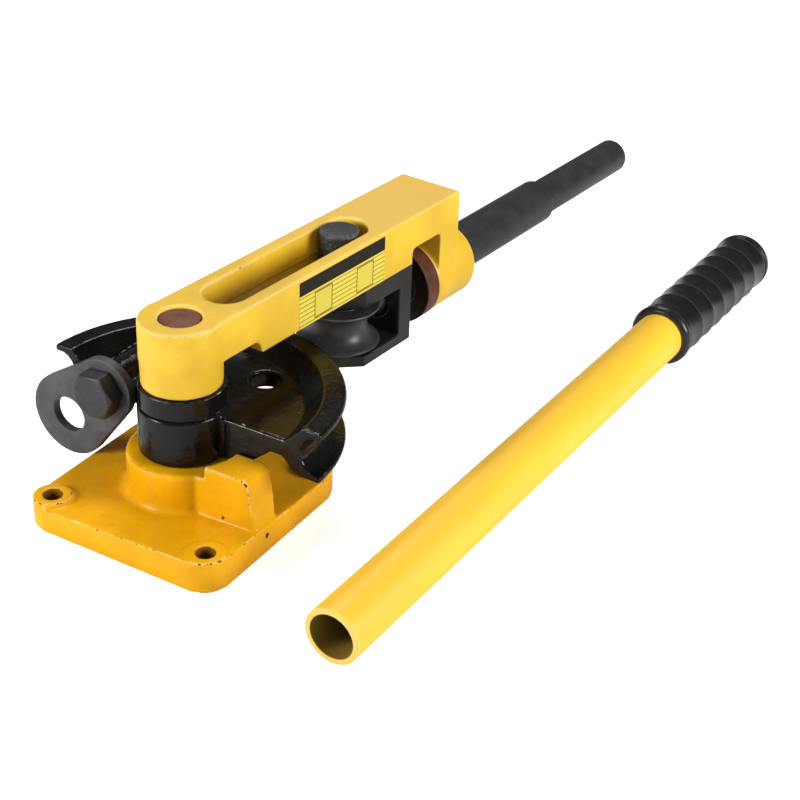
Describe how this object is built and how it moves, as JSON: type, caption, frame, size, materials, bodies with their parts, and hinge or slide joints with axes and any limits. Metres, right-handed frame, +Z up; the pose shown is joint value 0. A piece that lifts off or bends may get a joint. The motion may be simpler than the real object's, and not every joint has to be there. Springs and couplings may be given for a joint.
{
  "type": "manual pipe bender",
  "caption": "Bench-mounted manual pipe bender with a grooved half-round die, a swinging lever arm, a screw-fed roller and a loose tube handle.",
  "frame": {"origin": "middle of the base's underside, on the axis of the main pin", "axes": "+Z up along the main pin, +X from the pin towards the middle of the die's rim, +Y towards the eye plate"},
  "size_m": [0.6548, 0.3389, 0.1435],
  "materials": {
    "base_paint": "deep yellow gloss enamel on a sand casting",
    "arm_paint": "light yellow enamel on a smooth casting",
    "tube_paint": "light yellow satin paint on a steel tube",
    "die_paint": "black gloss enamel on a rough casting",
    "black_steel": "satin black oxide",
    "bare_steel": "oiled steel",
    "brown_steel": "reddish brown hardened steel",
    "grip_rubber": "glossy black soft grip"
  },
  "bodies": {
    "base": {"base_casting": "base_paint", "main_pin": "brown_steel", "spacer_ring": "die_paint"},
    "die": {"bending_die": "die_paint", "eye_bolt": "black_steel"},
    "eye": {"eye_plate": "black_steel"},
    "arm": {"lever_arm": "arm_paint"},
    "spindle": {"spindle_sleeve": "black_steel", "spindle_spigot": "black_steel", "thrust_washer": "brown_steel"},
    "carriage": {"roller_fork": "black_steel", "lead_screw": "bare_steel", "screw_nut_inner": "black_steel", "screw_nut_outer": "black_steel", "roller_axle": "black_steel", "roller_spacer_lower": "black_steel", "roller_spacer_upper": "black_steel"},
    "roller": {"form_roller": "black_steel"},
    "handle": {"handle_tube": "tube_paint", "handle_grip": "grip_rubber"}
  },
  "joints": [
    {"name": "arm_swing", "type": "hinge", "parent": "base", "child": "arm", "pos_m": [0, 0, 0.12], "axis": [0, 0, 1], "range_deg": [-95, 75]},
    {"name": "spindle_spin", "type": "hinge", "parent": "arm", "child": "spindle", "pos_m": [0.27503, -0.0231, 0.0725], "axis": [0.9965, -0.0837, 0], "range_deg": [-2088, 360]},
    {"name": "carriage_slide", "type": "slide", "parent": "arm", "child": "carriage", "axis": [0.9965, -0.0837, 0], "range_m": [-0.0291, 0.0051]},
    {"name": "roller_spin", "type": "hinge", "parent": "carriage", "child": "roller", "pos_m": [0.16442, -0.01381, 0.0725], "axis": [0, 0, 1], "continuous": true},
    {"name": "die_turn", "type": "hinge", "parent": "base", "child": "die", "pos_m": [0, 0, 0.0645], "axis": [0, 0, 1], "range_deg": [0, 6]},
    {"name": "eye_swing", "type": "hinge", "parent": "die", "child": "eye", "pos_m": [-0.00365, 0.0602, 0.0723], "axis": [1, 0, 0], "range_deg": [0, 48]},
    {"name": "handle_slide", "type": "slide", "parent": "base", "child": "handle", "axis": [0, -1, 0], "range_m": [0, 0.1]}
  ],
  "couplings": [
    {"joint": "carriage_slide", "follows": "spindle_spin", "m_per_rad": 0.00079577}
  ]
}
